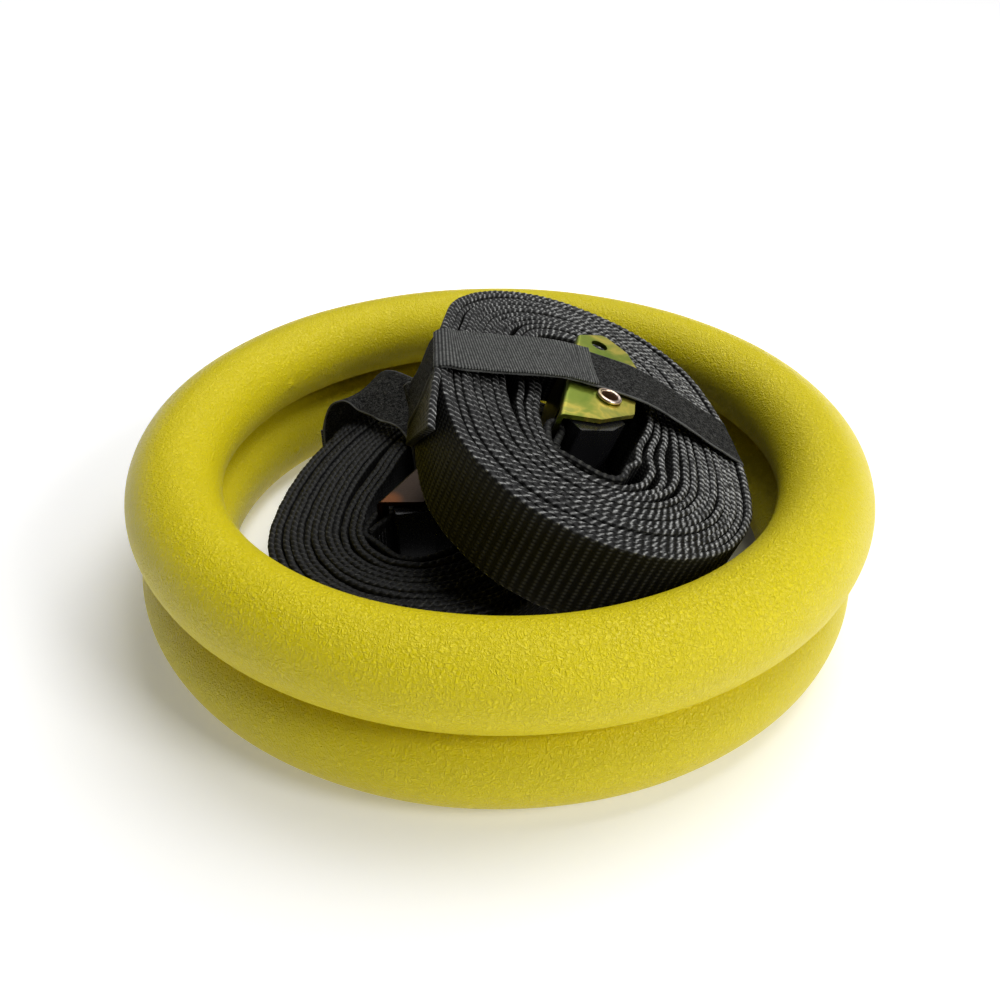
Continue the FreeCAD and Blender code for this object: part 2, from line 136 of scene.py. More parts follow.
class Shade:
    """A thin wrapper that keeps node graphs short."""

    def __init__(self, name):
        self.mat = bpy.data.materials.new(name)
        self.mat.use_nodes = True
        self.nodes = self.mat.node_tree.nodes
        self.links = self.mat.node_tree.links
        self.bsdf = self.nodes["Principled BSDF"]

    def add(self, kind, **inputs):
        node = self.nodes.new(kind)
        for key, value in inputs.items():
            if hasattr(node, key):
                setattr(node, key, value)
            else:
                self.put(node.inputs[key], value)
        return node

    def put(self, socket, value):
        if isinstance(value, bpy.types.NodeSocket):
            self.links.new(value, socket)
        else:
            socket.default_value = value

    def math(self, op, a, b=0.0, c=0.0, clamp=False):
        node = self.add("ShaderNodeMath", operation=op, use_clamp=clamp)
        for socket, value in zip(node.inputs, (a, b, c)):
            self.put(socket, value)
        return node.outputs[0]

    def times(self, a, b):
        return self.math("MULTIPLY", a, b)

    def plus(self, a, gain, base):
        """a * gain + base."""
        return self.math("MULTIPLY_ADD", a, gain, base)

    def cosine(self, angle):
        """The cosine of an angle, moved into the range 0 to 1."""
        return self.plus(self.math("COSINE", angle), 0.5, 0.5)

    def wave(self, x, period):
        return self.cosine(self.times(x, 2 * math.pi / period))

    def fade(self, value, start, stop, low, high):
        """Goes smoothly from low to high while value goes from start to stop."""
        node = self.add("ShaderNodeMapRange", interpolation_type="SMOOTHSTEP")
        for socket, number in zip(node.inputs, (value, start, stop, low, high)):
            self.put(socket, number)
        return node.outputs[0]

    def ramp(self, fac, stops):
        node = self.nodes.new("ShaderNodeValToRGB")
        self.put(node.inputs[0], fac)
        while len(node.color_ramp.elements) < len(stops):
            node.color_ramp.elements.new(0.5)
        for element, (pos, col) in zip(node.color_ramp.elements, stops):
            element.position = pos
            element.color = rgba(col)
        return node.outputs[0]

    def margin(self, across, half, start, stop):
        """0 on a tape's face and 1 along its edges; start and stop are shares of half."""
        share = self.times(self.math("ABSOLUTE", across), 1 / half)
        return self.ramp(share, [(start, BLACK), (stop, WHITE)])

    def mix(self, fac, a, b):
        node = self.add("ShaderNodeMix", data_type="RGBA")
        self.put(node.inputs[0], fac)
        self.put(node.inputs[6], rgba(a))
        self.put(node.inputs[7], rgba(b))
        return node.outputs[2]

    def blend(self, fac, a, b):
        """Like mix, for plain numbers."""
        node = self.add("ShaderNodeMix", data_type="FLOAT")
        for socket, value in zip((node.inputs[0], node.inputs[2], node.inputs[3]), (fac, a, b)):
            self.put(socket, value)
        return node.outputs[0]

    def noise(self, coord, scale, detail=3.0, rough=0.5, distortion=0.0):
        node = self.nodes.new("ShaderNodeTexNoise")
        self.put(node.inputs["Vector"], coord)
        node.inputs["Scale"].default_value = scale
        node.inputs["Detail"].default_value = detail
        node.inputs["Roughness"].default_value = rough
        node.inputs["Distortion"].default_value = distortion
        return node.outputs[0]

    def bump(self, height, distance, strength=1.0):
        node = self.nodes.new("ShaderNodeBump")
        node.inputs["Strength"].default_value = strength
        node.inputs["Distance"].default_value = distance
        self.put(node.inputs["Height"], height)
        return node.outputs[0]

    def measure(self, operation, at, to=None):
        """A vector operation on at that gives a number."""
        node = self.add("ShaderNodeVectorMath", operation=operation)
        self.put(node.inputs[0], at)
        if to is not None:
            node.inputs[1].default_value = to
        return node.outputs["Value"]

    def uv(self, layer="tape"):
        """Distance along a tape with its place across (layer tape) or its rise (layer edge)."""
        node = self.add("ShaderNodeUVMap", uv_map=layer)
        split = self.add("ShaderNodeSeparateXYZ", Vector=node.outputs[0])
        return split.outputs[0], split.outputs[1]

    def object_coord(self):
        return self.nodes.new("ShaderNodeTexCoord").outputs["Object"]

    def set(self, **inputs):
        for key, value in inputs.items():
            self.put(self.bsdf.inputs[SOCKETS[key]], rgba(value))
        return self.mat

# ---------------------------------------------------------------- materials

# A noise's scale is about how many spots it has in a metre.

# One repeat of the webbing's weave is two ribs long (mm); its yarns are this far apart (m).
REPEAT = 5.3
YARN_PITCH = 0.00125
# How bright the yarns of each strap are, as painted light and shade: the right one's glints and highlights
# are painted bright, and the left one, which lies in the dark, is painted in shade.
WEBBING_PAINTED_LIGHT = {"left": 0.09, "right": 0.74}


def ring_plastic():
    """Moulded yellow plastic with a fine pebbled grain and rubbed, slightly glossy patches."""
    s = Shade("ring_plastic")
    at = s.object_coord()
    worms = s.noise(at, 960, 2.0, 0.5, 0.8)
    ridge = s.math("MULTIPLY", s.math("ABSOLUTE", s.math("SUBTRACT", worms, 0.5)), 5.0, clamp=True)
    cells = s.add("ShaderNodeTexVoronoi", feature="SMOOTH_F1", Vector=at, Scale=1000, Smoothness=0.6)
    fine = s.noise(at, 2300, 3.0, 0.65)
    broad = s.noise(at, 28, 3.0, 0.55)
    grain = s.plus(cells.outputs["Distance"], 0.5, s.times(ridge, 0.75))
    grain = s.plus(fine, 0.22, grain)
    scuff = s.noise(at, 55, 5.0, 0.72, 0.6)
    rubbed = s.ramp(scuff, [(0.50, BLACK), (0.66, WHITE)])
    base = s.mix(broad, (0.72, 0.595, 0.001), (0.80, 0.672, 0.002))
    base = s.mix(0.10, base, (0.56, 0.43, 0.0))
    base = s.mix(s.times(ridge, 0.38), base, (0.92, 0.78, 0.006))
    base = s.mix(s.times(rubbed, 0.10), base, (0.70, 0.56, 0.01))
    rough = s.plus(fine, 0.08, s.plus(rubbed, -0.06, 0.34))
    return s.set(color=base, rough=rough, normal=s.bump(grain, 0.00035, 0.9), spec=0.32)


def webbing(side):
    """Woven polyester: cross ribs and yarns on the faces, slanting beads along the edges, with painted
    highlights, and painted shade on the left strap.
    """
    s = Shade("webbing_" + side)
    # the strap's painted light: bright on the right strap, painted shade on the left one
    bright = WEBBING_PAINTED_LIGHT[side]
    along, across = s.uv()
    rise = s.uv("edge")[1]
    at = s.object_coord()
    fuzz = s.noise(at, 2600, 2.0, 0.6)
    broad = s.noise(at, 60, 2.0, 0.5)
    turn = s.times(along, 2 * math.pi / (REPEAT * MM))
    rib = s.cosine(s.times(turn, 2.0))
    pick = s.cosine(s.times(turn, 8.0))
    slope = s.cosine(s.plus(turn, 2.0, -0.9))
    yarn = s.wave(across, YARN_PITCH)
    weave = s.plus(rib, 0.35, s.times(s.times(yarn, slope), 0.8))
    weave = s.plus(pick, 0.10, weave)
    weave = s.plus(fuzz, 0.35, weave)
    # the beads slant across the edge, wander, and fade in patches
    slant = s.plus(rise, 2100.0, s.times(turn, 2.0))
    slant = s.plus(s.noise(at, 700, 2.0, 0.5), 3.4, slant)
    bead = s.math("POWER", s.cosine(slant), 4.0)
    bead = s.times(bead, s.plus(s.math("COSINE", s.times(rise, 6400.0)), 0.25, 0.75))
    patches = s.ramp(s.noise(at, 560, 2.0, 0.6), [(0.36, grey(0.14)), (0.58, WHITE)])
    bead = s.times(bead, patches)
    side_band = s.margin(across, 0.0143, 0.90, 0.945)
    height = s.blend(side_band, weave, s.plus(fuzz, 0.4, bead))
    # painted highlight: light yarn dashes on the lit flank of each rib
    stitch = s.times(yarn, s.math("POWER", slope, 3.0))
    face = s.mix(stitch, (0.0025, 0.0025, 0.0022), tuple(bright * c for c in (0.075, 0.075, 0.066)))
    # painted highlight: the edge beads are coloured as bright glints on the black yarn
    edge = s.mix(bead, (0.0030, 0.0030, 0.0028), tuple(bright * c for c in (0.78, 0.785, 0.76)))
    base = s.mix(side_band, face, edge)
    base = s.mix(s.times(broad, 0.25), base, grey(0.003))
    rough = s.plus(side_band, -0.12, 0.60)
    normal = s.bump(height, 0.00028, 0.9)
    return s.set(color=base, rough=rough, normal=normal, spec=0.20, sheen=0.015, sheen_rough=0.4)


def thread():
    """Twisted black sewing thread."""
    s = Shade("thread")
    twist = s.add("ShaderNodeTexWave", wave_type="BANDS", bands_direction="DIAGONAL",
                  Vector=s.object_coord(), Scale=900, Distortion=1.0).outputs["Fac"]
    base = s.mix(twist, (0.012, 0.012, 0.013), (0.06, 0.06, 0.062))
    return s.set(color=base, rough=0.5, normal=s.bump(twist, 0.0001, 0.8), sheen=0.1)


def painted_shade_below_ear(s, at):
    """Painted shade: 0 on the right frame's upper ear, rising to 0.9 deep in the roll's core."""
    shallow, deep = (in_frame_node("right", (0.0, 0.0, z)) for z in (13.8, 11.5))
    axis = (deep - shallow).normalized()
    return s.fade(s.measure("DOT_PRODUCT", at, axis), shallow.dot(axis), deep.dot(axis), 0.0, 0.9)


def zinc_plate():
    """Yellow zinc plating: gold with green and pink drift and fine scratches, with shade painted dark in the
    core below the upper ear.
    """
    s = Shade("zinc_plate")
    at = s.object_coord()
    drift = s.noise(at, 62, 3.0, 0.55, 0.8)
    tint = s.ramp(drift, [
        (0.30, (0.22, 0.32, 0.03)), (0.44, (0.32, 0.38, 0.045)), (0.54, (0.66, 0.56, 0.09)),
        (0.62, (0.40, 0.42, 0.07)), (0.74, (0.64, 0.38, 0.21)),
    ])
    # painted shade: below the upper ear the metal is coloured nearly black
    tint = s.mix(painted_shade_below_ear(s, at), tint, (0.020, 0.014, 0.006))
    spots = s.noise(at, 900, 3.0, 0.6)
    stretched = s.add("ShaderNodeMapping", Vector=at, Scale=(140, 2400, 900)).outputs[0]
    scratch = s.noise(stretched, 1.0, 4.0)
    rough = s.plus(spots, 0.10, s.plus(scratch, 0.16, 0.20))
    normal = s.bump(s.math("ADD", spots, scratch), 0.00005, 0.6)
    return s.set(color=tint, rough=rough, metal=1.0, normal=normal)


def copper_plate():
    """Brown plating for the left frame and both cams, with painted shade: bright only near the left ear's
    corner, nearly black elsewhere.
    """
    s = Shade("copper_plate")
    at = s.object_coord()
    tint = s.mix(s.noise(at, 60, 3.0, 0.6, 0.4), (0.075, 0.023, 0.005), (0.17, 0.055, 0.012))
    spots = s.noise(at, 1400, 3.0, 0.6)
    # painted shade: away from the left ear's front corner the metal is coloured nearly black
    away = s.measure("DISTANCE", at, in_frame_node("left", EAR_CORNER))
    tint = s.mix(s.fade(away, 0.0025, 0.0070, 0.0, 0.95), tint, (0.020, 0.012, 0.007))
    return s.set(color=tint, rough=s.plus(spots, 0.2, 0.22), metal=1.0, normal=s.bump(spots, 0.00005, 0.6))


def rivet_steel():
    """Plated steel with a warm, slightly pink sheen."""
    s = Shade("rivet_steel")
    at = s.object_coord()
    turned = s.noise(at, 1600, 3.0, 0.6)
    tint = s.ramp(s.noise(at, 140, 2.0, 0.5), [
        (0.38, (0.66, 0.52, 0.32)), (0.55, (0.74, 0.56, 0.47)), (0.72, (0.66, 0.60, 0.52)),
    ])
    return s.set(color=tint, rough=s.plus(turned, 0.2, 0.22), metal=1.0, normal=s.bump(turned, 0.00002, 0.5))


def spring_steel():
    """Bright drawn wire."""
    s = Shade("spring_steel")
    drawn = s.noise(s.object_coord(), 1100, 4.0, 0.6)
    tint = s.mix(drawn, (0.42, 0.42, 0.43), (0.66, 0.65, 0.63))
    return s.set(color=tint, rough=0.28, metal=1.0, normal=s.bump(drawn, 0.00003, 0.6))


def lever_plastic():
    """Glossy black plastic with faint moulding ripple and fine handling marks."""
    s = Shade("lever_plastic")
    at = s.object_coord()
    ripple = s.noise(at, 90, 2.0, 0.5)
    marks = s.noise(at, 1300, 4.0, 0.65)
    base = s.mix(ripple, (0.006, 0.006, 0.007), (0.013, 0.013, 0.014))
    normal = s.bump(s.plus(marks, 0.08, ripple), 0.0002, 0.35)
    return s.set(color=base, rough=s.plus(marks, 0.18, 0.17), spec=0.40, normal=normal)


def loop_tape():
    """Soft side of hook-and-loop tape: matt brushed loops with a woven selvedge."""
    s = Shade("loop_tape")
    across = s.uv()[1]
    at = s.object_coord()
    fluff = s.noise(at, 1100, 4.0, 0.75, 1.2)
    tuft = s.noise(at, 330, 3.0, 0.6)
    selvedge = s.margin(across, 0.0114, 0.935, 0.965)
    lint = s.ramp(fluff, [(0.44, grey(0.003)), (0.66, (0.135, 0.136, 0.129))])
    base = s.mix(s.times(tuft, 0.7), lint, grey(0.005))
    base = s.mix(s.times(selvedge, 0.8), base, (0.17, 0.172, 0.165))
    normal = s.bump(s.plus(tuft, 0.5, fluff), 0.0008)
    return s.set(color=base, rough=0.95, normal=normal, spec=0.08, sheen=0.02, sheen_rough=0.5)


def hook_tape():
    """Back of the hook tape: a tight plain weave that shows as fine lines across it."""
    s = Shade("hook_tape")
    along, across = s.uv()
    at = s.object_coord()
    lines = s.wave(along, 0.00088)
    picks = s.wave(across, 0.00055)
    lint = s.noise(at, 900, 4.0, 0.7)
    uneven = s.noise(at, 120, 3.0, 0.6)
    light = s.times(lines, s.plus(picks, 0.55, 0.45))
    light = s.times(light, s.ramp(lint, [(0.36, grey(0.25)), (0.60, WHITE)]))
    base = s.mix(light, (0.005, 0.0055, 0.005), (0.275, 0.280, 0.265))
    base = s.mix(s.times(uneven, 0.25), base, (0.022, 0.023, 0.022))
    height = s.plus(lines, 0.8, s.times(picks, 0.35))
    height = s.plus(lint, 0.35, height)
    return s.set(color=base, rough=0.66, normal=s.bump(height, 0.00024), spec=0.18, sheen=0.05)


def floor_paint():
    """Pale paper that glows, weakly near the object and more away from it: painted light, which paints shade
    round the object.
    """
    s = Shade("floor_paint")
    at = s.object_coord()
    base = s.mix(s.noise(at, 3.0, 2.0), grey(0.93), grey(0.96))
    reach = s.measure("LENGTH", at)
    # painted shadow: inside the rings, to the right, the floor is coloured darker and glows less, where the
    # leaning roll keeps the light off it
    inside = s.fade(reach, 0.095, 0.115, 1.0, 0.0)
    right = s.add("ShaderNodeSeparateXYZ", Vector=at).outputs[0]
    shade = s.times(inside, s.math("MULTIPLY_ADD", right, 22.0, -0.4, clamp=True))
    base = s.mix(shade, base, (0.36, 0.34, 0.22))
    # painted light: the floor's glow rises away from the object, which leaves painted shade near it
    glow = s.fade(reach, 0.10, 0.40, 0.21, 0.90)
    s.bsdf.inputs["Emission Color"].default_value = rgba(WHITE)
    s.put(s.bsdf.inputs["Emission Strength"], s.math("SUBTRACT", glow, s.times(shade, 0.19)))
    return s.set(color=base, rough=0.9, spec=0.1)


MATERIALS = {
    "ring_plastic": ring_plastic(), "webbing_left": webbing("left"), "webbing_right": webbing("right"),
    "thread": thread(), "zinc_plate": zinc_plate(), "copper_plate": copper_plate(),
    "rivet_steel": rivet_steel(), "spring_steel": spring_steel(), "lever_plastic": lever_plastic(),
    "loop_tape": loop_tape(), "hook_tape": hook_tape(), "floor": floor_paint(),
}

# ---------------------------------------------------------------- mesh helpers

def new_object(name, verts, faces, material, uvs=None, edge=None):
    """A smooth mesh from vertices in metres, with the two uv layers of a tape if they are given."""
    mesh = bpy.data.meshes.new(name)
    mesh.from_pydata(np.asarray(verts, float).tolist(), [], [tuple(int(i) for i in f) for f in faces])
    for layer_name, values in (("tape", uvs), ("edge", edge)):
        if values is not None:
            index = np.empty(len(mesh.loops), dtype=np.int32)
            mesh.loops.foreach_get("vertex_index", index)
            layer = mesh.uv_layers.new(name=layer_name)
            layer.data.foreach_set("uv", np.asarray(values, np.float32)[index].ravel())
    mesh.polygons.foreach_set("use_smooth", [True] * len(mesh.polygons))
    mesh.update()
    obj = bpy.data.objects.new(name, mesh)
    bpy.context.scene.collection.objects.link(obj)
    mesh.materials.append(MATERIALS[material])
    return obj


def fix_normals(obj):
    bm = bmesh.new()
    bm.from_mesh(obj.data)
    bmesh.ops.recalc_face_normals(bm, faces=bm.faces)
    bm.to_mesh(obj.data)
    bm.free()


def stand_in(obj, node, body):
    """Puts a visual piece in the place of a CAD node, on that node's body."""
    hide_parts(node)
    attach(obj, body)


def grid_faces(rows, cols, closed_rows, closed_cols):
    """Quads of a rows x cols grid of vertices."""
    r = np.arange(rows if closed_rows else rows - 1)[:, None]
    c = np.arange(cols if closed_cols else cols - 1)[None, :]
    next_r = (r + 1) % rows
    next_c = (c + 1) % cols
    corners = (r * cols + c, r * cols + next_c, next_r * cols + next_c, next_r * cols + c)
    return np.stack([corner.ravel() for corner in corners], 1)


def swept_faces(rows, cols, closed):
    """Faces of a section of cols vertices carried along rows places, with end caps if it is open."""
    faces = grid_faces(rows, cols, closed, True).tolist()
    if not closed:
        faces.append(list(range(cols)))
        faces.append(list(range((rows - 1) * cols, rows * cols))[::-1])
    return faces


def catmull(points, per=24, closed=False):
    """A smooth curve through the points."""
    p = np.asarray(points, float)
    n = len(p)
    t = np.linspace(0, 1, per, endpoint=False)[:, None]
    out = []
    for i in range(n if closed else n - 1):
        if closed:
            a, b, c, d = p[(i - 1) % n], p[i], p[(i + 1) % n], p[(i + 2) % n]
        else:
            a, b, c, d = p[max(i - 1, 0)], p[i], p[i + 1], p[min(i + 2, n - 1)]
        square = (2 * a - 5 * b + 4 * c - d) * t**2
        cube = (3 * b - a - 3 * c + d) * t**3
        out.append(0.5 * ((2 * b) + (c - a) * t + square + cube))
    if not closed:
        out.append(p[-1:])
    return np.vstack(out)


def resample(p, step, closed=False):
    """The same curve with even steps; returns points and distances."""
    q = np.vstack([p, p[:1]]) if closed else p
    seg = np.linalg.norm(np.diff(q, axis=0), axis=1)
    s = np.r_[0, np.cumsum(seg)]
    count = max(int(round(s[-1] / step)), 8)
    t = np.linspace(0, s[-1], count + 1)
    if closed:
        t = t[:-1]
    return np.stack([np.interp(t, s, q[:, k]) for k in range(q.shape[1])], 1), t


def unit(v):
    return v / np.maximum(np.linalg.norm(v, axis=-1, keepdims=True), 1e-12)


def smooth(a, b, x):
    """Goes smoothly from 0 to 1 while x goes from a to b."""
    t = np.clip((x - a) / (b - a), 0, 1)
    return t * t * (3 - 2 * t)


def sweep_tape(name, centre, side, half, section, material, place, dist, shape, closed=False, trim=None):
    """A tape along centre (N x 3). side is its direction across (N x 3) and half its half width.
    section lists (place across in half widths, offset across, rise), and shape changes both lengths.
    trim gives each vertex its own distance along, so that an end can be cut on a slant."""
    n, m = len(centre), len(section)
    if closed:
        tangent = unit(np.roll(centre, -1, 0) - np.roll(centre, 1, 0))
    else:
        tangent = unit(np.gradient(centre, axis=0))
    side = unit(side - (side * tangent).sum(1, keepdims=True) * tangent)
    up = np.cross(tangent, side)
    across = np.tile([half * a + b for a, b, c in section], (n, 1))
    rise = np.tile([c for a, b, c in section], (n, 1))
    across, rise = shape(dist, across, rise)
    base, along = np.repeat(centre[:, None, :], m, 1), np.repeat(dist[:, None], m, 1)
    if trim is not None:
        along = trim(along, across)
        base = np.stack([np.interp(along, dist, centre[:, k]) for k in range(3)], -1)
    verts = base + across[..., None] * side[:, None, :] + rise[..., None] * up[:, None, :]
    uvs = np.stack([along.ravel(), across.ravel()], 1) * MM
    edge = np.stack([along.ravel(), rise.ravel()], 1) * MM
    obj = new_object(name, place(verts.reshape(-1, 3)) * MM, swept_faces(n, m, closed), material, uvs, edge)
    fix_normals(obj)
    return obj


def rounded_section(half_thick, flats=6, arc=5, roundness=1.0):
    """Closed outline of a tape: two flat faces and two round edges, flatter where roundness is small."""
    pts = []
    reach = half_thick * roundness
    for direction in (1, -1):
        for x in np.linspace(-direction, direction, flats):
            inset = -np.sign(x) * reach * (abs(x) > 0.99)
            pts.append((x, inset, -direction * half_thick))
        for a in np.radians(np.linspace(-90, 90, arc + 2)[1:-1]):
            out = direction * reach * (math.cos(a) - 1)
            pts.append((direction, out, direction * half_thick * math.sin(a)))
    return pts


def tube(path, radius, material, sides, place, name="thread"):
    """A round wire or thread along path."""
    tangent = unit(np.gradient(path, axis=0))
    guess = np.array([0.0, 0.0, 1.0]) if abs(tangent[0][2]) < 0.9 else np.array([1.0, 0.0, 0.0])
    normal = unit(np.cross(tangent[0], guess))
    normals = []
    for t in tangent:
        normal = unit(normal - (normal @ t) * t)
        normals.append(normal)
    a = np.array(normals)[:, None, :]
    b = np.cross(tangent, a[:, 0])[:, None, :]
    angle = np.linspace(0, 2 * math.pi, sides, endpoint=False)[None, :, None]
    verts = path[:, None, :] + radius * (np.cos(angle) * a + np.sin(angle) * b)
    faces = swept_faces(len(path), sides, False)
    obj = new_object(name, place(verts.reshape(-1, 3)) * MM, faces, material)
    fix_normals(obj)
    return obj


def join(name, objs, material):
    """One object from several meshes."""
    verts, faces, base = [], [], 0
    for o in objs:
        co = np.empty(len(o.data.vertices) * 3)
        o.data.vertices.foreach_get("co", co)
        verts.append(co.reshape(-1, 3))
        faces += [[base + i for i in p.vertices] for p in o.data.polygons]
        base += len(o.data.vertices)
    for o in objs:
        bpy.data.objects.remove(o)
    return new_object(name, np.vstack(verts), faces, material)

# ---------------------------------------------------------------- rings

RING_ROWS, RING_COLS = 900, 120
# The skin's mean lies this far inside the CAD ring, so that its waves hardly pass the CAD ring's box.
SKIN = 0.05
# Small moulding pips on the inner seam: place round the ring in degrees, and size.
PIPS = ((150.5, 1.1), (108.2, 1.3), (-165.5, 0.9), (-40.0, 1.0))


def wrapped(angle):
    """An angle brought into the range from -pi to pi."""
    return np.angle(np.exp(1j * angle))


def ring(name):
    """A moulded ring with a parting seam inside and outside, slight waviness and a few pips."""
    low, high = (np.array(c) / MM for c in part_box(name))
    centre = (low + high) / 2
    section = (high[2] - low[2]) / 2
    radius = (high[0] - low[0]) / 2 - section
    a = np.linspace(0, 2 * math.pi, RING_ROWS, endpoint=False)[:, None]
    b = np.linspace(0, 2 * math.pi, RING_COLS, endpoint=False)[None, :]
    seam = np.exp(-((wrapped(b - math.pi) / 0.012) ** 2)) * 0.06
    seam = seam + np.exp(-((wrapped(b) / 0.012) ** 2)) * 0.05
    wander = 0.05 * np.sin(7 * a + 1.0) * np.cos(3 * b) + 0.04 * np.sin(13 * a + 2 * b)
    skin = section - SKIN + seam * (0.6 + 0.4 * np.sin(31 * a)) + wander
    for spot, size in PIPS:
        along = wrapped(a - math.radians(spot)) * (radius - section)
        up = wrapped(b - math.pi) * section
        skin = skin + 0.55 * size * np.exp(-((along / 1.5) ** 2 + (up / size) ** 2) ** 2)
    x = centre[0] + (radius + skin * np.cos(b)) * np.cos(a)
    y = centre[1] + (radius + skin * np.cos(b)) * np.sin(a)
    z = centre[2] + skin * np.sin(b) + 0 * a
    obj = new_object(name + "_moulding", np.stack([x, y, z], -1).reshape(-1, 3) * MM,
                     grid_faces(RING_ROWS, RING_COLS, True, True), "ring_plastic")
    fix_normals(obj)
    stand_in(obj, name, name)


ring("ring_lower")
ring("ring_upper")

# ---------------------------------------------------------------- rolled webbing

# Half the width of the strap's mesh, and how far out its flat faces reach.
WEBBING_HALF = 13.75
FACE_REACH = 13.0
# The oval's two long arcs are centred this far beyond its middle, which makes them nearly straight.
FLAT = 90.0
# Number of turns, the radius of the outermost turn's end arcs, and how much each turn adds to it.
TURNS = 13.83
OUTER_RADIUS = 49.75
PITCH = 2.22
# The long walls are pushed in fully from this far off the middle line.
WALL_START = 8
FIRST_ANGLE = math.radians(229)
# Height of the webbing's middle while it passes the buckle.
LEAD_HEIGHT = 15.2
# The loop of the strap round the frame's front bar, seen from the buckle's pivot.
BAR_LOOP = [
    (-11.9, -29.6), (-11.8, -27.4), (-11.5, -25.0), (-11.2, -21.5), (-11.25, -18.6), (-11.9, -16.6),
    (-13.3, -15.95), (-14.7, -16.6), (-15.35, -18.6), (-15.3, -21.5), (-15.0, -25.0),
    (-14.4, -28.0), (-12.7, -31.6),
]
# What differs between the rolls: how loosely the inner turns lie, how far the long walls are pushed in,
# how far the right tie pinches the turns, the waves' phases, and the slant of the cut free end.
LOOSE = {"left": 0.5, "right": 1.0}
LEFT_WALL_PUSH = {"left": 2.0, "right": 4.6}
RIGHT_WALL_PUSH = {"left": 2.0, "right": 4.8}
TIE_PINCH = {"left": 0.0, "right": 1.25}
PHASES = {"left": (0.4, 1.9, 0.3), "right": (1.3, 0.2, 2.2)}
END_SLANT = {"left": 3.0, "right": 31.0}


def oval_points(phi, rho, half):
    """Point of the four-arc oval whose outward normal points along phi."""
    reach = np.hypot(half, FLAT)
    turn = np.arctan2(half, FLAT)
    a = wrapped(phi)
    right = np.abs(a) <= turn
    left = np.abs(a) >= math.pi - turn
    cx = np.where(right, -FLAT, np.where(left, FLAT, 0.0))
    cy = np.where(right | left, 0.0, np.where(a > 0, half, -half))
    r = np.where(right | left, rho + reach, rho)
    return np.stack([cx + r * np.cos(a), cy + r * np.sin(a)], 1)


def near(phi, degrees, width):
    """1 where phi is at the given angle, falling to 0 away from it."""
    d = np.degrees(np.abs(wrapped(phi - math.radians(degrees))))
    return np.exp(-((d / width) ** 2))


def push_wall(xy, wall, depth, y, width):
    """Pushes a long wall of the winding inwards round y; wall is -1 for the left and 1 for the right."""
    share = np.clip(wall * xy[:, 0] / WALL_START, 0, 1)
    xy[:, 0] -= wall * depth * np.exp(-((xy[:, 1] - y) / width) ** 2) * share


def winding(side):
    """Centre line of the wound strap in the roll's plane, with its height. n counts the turns."""
    n = np.linspace(0, TURNS, int(TURNS * 720))
    phi = FIRST_ANGLE + 2 * math.pi * n
    loose = LOOSE[side]
    first, second, third = PHASES[side]
    rho = OUTER_RADIUS - PITCH * (TURNS - n)
    # the inner turns hang slack, most of all at the left and at the front right
    slack = 0.5 + 0.9 * near(phi, 178, 40) + 0.9 * near(phi, -38, 34)
    rho = rho - loose * (1 - smooth(3.2, 4.0, n)) * slack
    # the first turn falls into the core at the front
    rho = rho - loose * 4.8 * near(phi, -40, 32) * (1 - smooth(0.5, 1.7, n))
    rho = rho - loose * 2.4 * near(phi, -105, 40) * (1 - smooth(0.0, 0.6, n))
    # the tie pinches the outer turns, and the inner ones are tight at the back
    rho = rho - TIE_PINCH[side] * near(phi, 175, 13) * smooth(5.5, TURNS - 1, n)
    rho = rho - 1.6 * near(phi, 90, 35) * (1 - smooth(0.8, 3.0, n))
    # broad waves that fade out before the outermost turn, and small ripples all the way
    wavy = 1 - smooth(12.0, 13.2, n)
    rho = rho + 0.14 * np.sin(2.0 * phi + first + 2.1 * n) * wavy
    rho = rho + 0.10 * np.sin(3.0 * phi + second - 1.7 * n) * wavy
    rho = rho + 0.07 * np.sin(9.0 * phi + 5.3 * n + third)
    # the inner turns are longer ovals, a little further back
    xy = oval_points(phi, rho, 24.25 - 2.25 * n / TURNS)
    xy[:, 1] += 2.25 * (1 - n / TURNS)
    push_wall(xy, -1, LEFT_WALL_PUSH[side] * (1 - smooth(2.3, 4.2, n)), 3, 15)
    push_wall(xy, 1, RIGHT_WALL_PUSH[side] * (1 - smooth(1.4, 4.0, n)), -20, 13)
    # the turns stand at uneven heights
    high = 0.40 * np.sin(1.31 * n + third) + 0.26 * np.sin(phi + 2.4 * n) + 0.10 * np.sin(5 * phi + 3.1 * n)
    high = high + 0.15 * np.sin(2 * phi + first + 0.9 * n)
    return np.column_stack([xy, 14.0 + high * 0.9])


def strap_path(side):
    """The whole strap: sewn end, loop round the frame's bar, lead, winding, free end.
    Returns the points, their distances and the distance at which the loop ends."""
    roll = winding(side)
    loop = buckle_to_roll(catmull(np.array(BAR_LOOP), 16))
    loop = np.column_stack([loop, np.full(len(loop), LEAD_HEIGHT)])
    x, y = roll[-1, :2]
    if side == "right":
        tail = np.array([[x - 0.2, y - 5], [-52.2, -16], [-53.0, -27], [-53.5, -41.0]])
    else:
        tail = np.array([[x + 0.05, y - 4], [x + 0.3, y - 8], [x + 0.8, y - 12]])
    tail = np.column_stack([tail, np.full(len(tail), roll[-1, 2])])
    # a stretch of the winding is left out at each end, so that the joints are smooth
    line = np.vstack([loop, roll[60:-20], catmull(np.vstack([roll[-20:-19], tail]), 20)[1:]])
    line, dist = resample(line, 0.5)
    for _ in range(3):
        line[1:-1] = 0.25 * line[:-2] + 0.5 * line[1:-1] + 0.25 * line[2:]
    loop_length = resample(loop, 0.5)[1][-1]
    wound = smooth(loop_length - 12, loop_length + 60, dist)
    line[:, 2] = LEAD_HEIGHT + (line[:, 2] - LEAD_HEIGHT) * wound
    line, dist = resample(line, 0.60)
    return line, dist, loop_length


